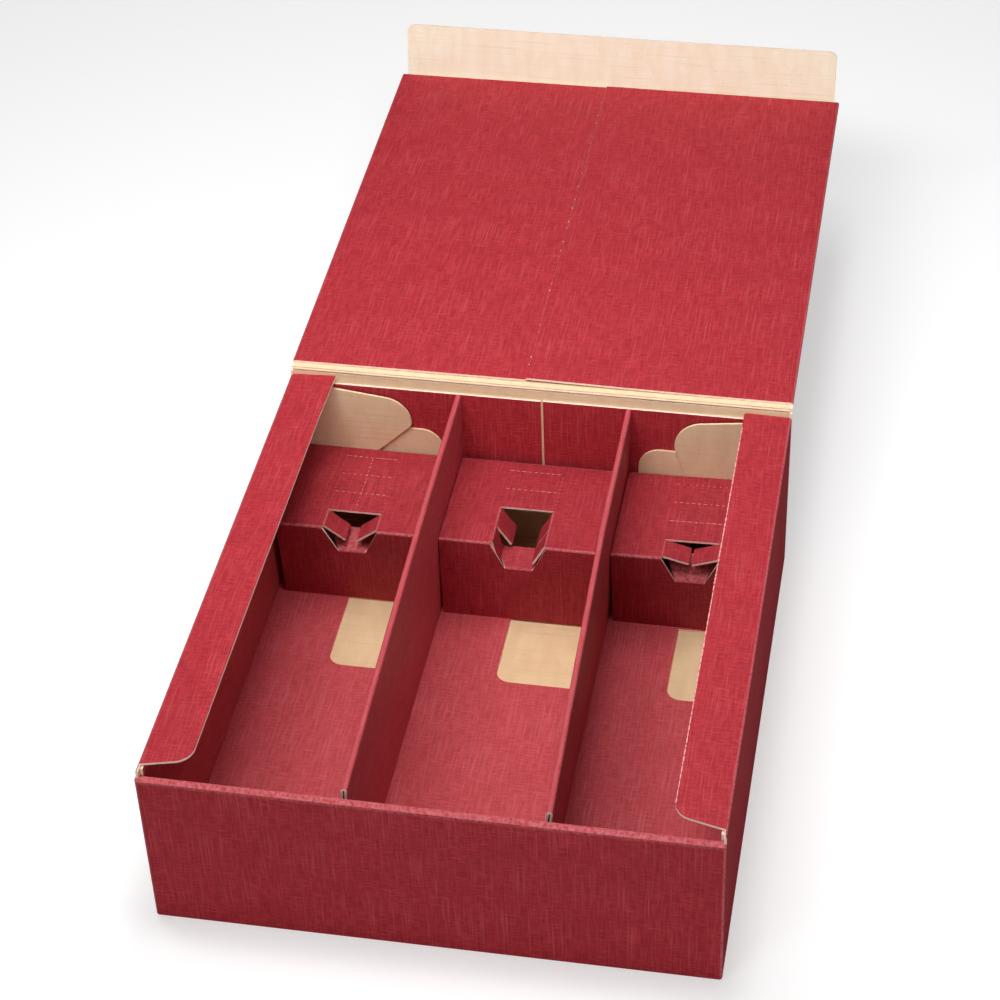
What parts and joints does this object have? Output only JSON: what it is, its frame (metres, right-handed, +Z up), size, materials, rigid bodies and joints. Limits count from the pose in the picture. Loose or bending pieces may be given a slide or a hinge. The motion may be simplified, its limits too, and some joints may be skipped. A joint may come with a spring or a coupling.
{
  "type": "bottle shipping box",
  "caption": "Folded micro-flute card box for bottles lying side by side, with dividers, neck cradles with tear-out tabs, and a hinged lid with a tuck flap, shown open.",
  "frame": {"origin": "middle of the case's underside, on the surface it stands on", "axes": "+Z up, +Y from the front wall towards the lid's crease, +X to the right seen from the front"},
  "size_m": [0.34, 0.7573, 0.1781],
  "materials": {
    "case_card": "wine-red linen-look print outside, plain kraft inside",
    "insert_card": "wine-red linen-look print on one face, kraft on the other",
    "cradle_card": "wine-red linen-look print outside, kraft inside"
  },
  "bodies": {
    "case": {"tray": "case_card", "insert": "insert_card", "neck_cradle_left": "cradle_card", "neck_cradle_middle": "cradle_card", "neck_cradle_right": "cradle_card"},
    "lid": {"lid": "case_card"},
    "tuck_flap": {"tuck_flap": "case_card"}
  },
  "joints": [
    {"name": "lid_hinge", "type": "hinge", "parent": "case", "child": "lid", "pos_m": [0, 0.18825, 0.13], "axis": [1, 0, 0], "range_deg": [0, 179]},
    {"name": "tuck_hinge", "type": "hinge", "parent": "lid", "child": "tuck_flap", "pos_m": [0, 0.56099, 0.13651], "axis": [1, 0, 0], "range_deg": [0, 14]}
  ],
  "couplings": [
    {"joint": "tuck_hinge", "follows": "lid_hinge", "ratio": 0.0782}
  ]
}
